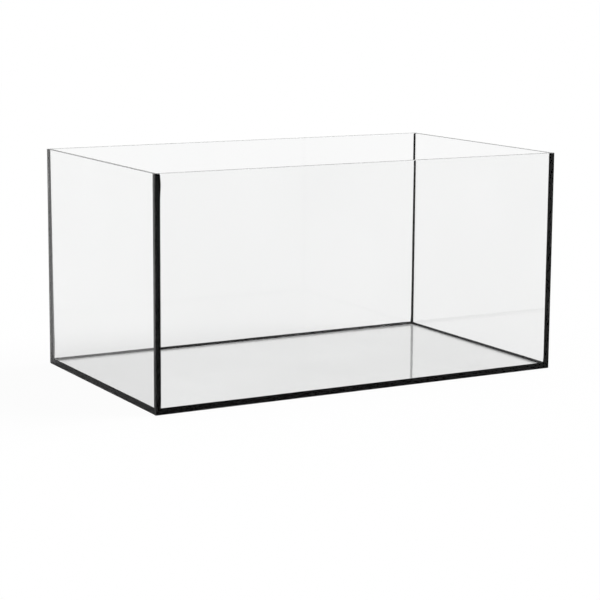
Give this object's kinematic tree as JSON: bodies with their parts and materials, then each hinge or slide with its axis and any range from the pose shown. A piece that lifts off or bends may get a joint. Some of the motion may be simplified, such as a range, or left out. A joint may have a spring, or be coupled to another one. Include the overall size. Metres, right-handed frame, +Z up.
{
  "type": "glass aquarium tank",
  "caption": "Rimless open-top rectangular tank of clear glass panes butt-joined with black silicone, for fish, plants or a terrarium.",
  "frame": {"origin": "centre of the tank's footprint, on the underside of the base", "axes": "+X along the long front wall to the right, +Y from the front wall to the back wall, +Z up to the open rim"},
  "size_m": [0.6, 0.35, 0.3],
  "materials": {
    "glass": "clear polished float glass with fine-ground arrised edges",
    "silicone": "smooth black silicone, slightly glossy where it wets the glass"
  },
  "bodies": {
    "root": {"base_pane": "glass", "front_pane": "glass", "back_pane": "glass", "left_pane": "glass", "right_pane": "glass", "corner_bond_front_left": "silicone", "corner_bond_front_right": "silicone", "corner_bond_back_left": "silicone", "corner_bond_back_right": "silicone", "base_bond_front": "silicone", "base_bond_back": "silicone", "base_bond_left": "silicone", "base_bond_right": "silicone", "corner_seal_front_left": "silicone", "corner_seal_front_right": "silicone", "corner_seal_back_left": "silicone", "corner_seal_back_right": "silicone", "base_seal_front": "silicone", "base_seal_back": "silicone", "base_seal_left": "silicone", "base_seal_right": "silicone"}
  },
  "joints": []
}
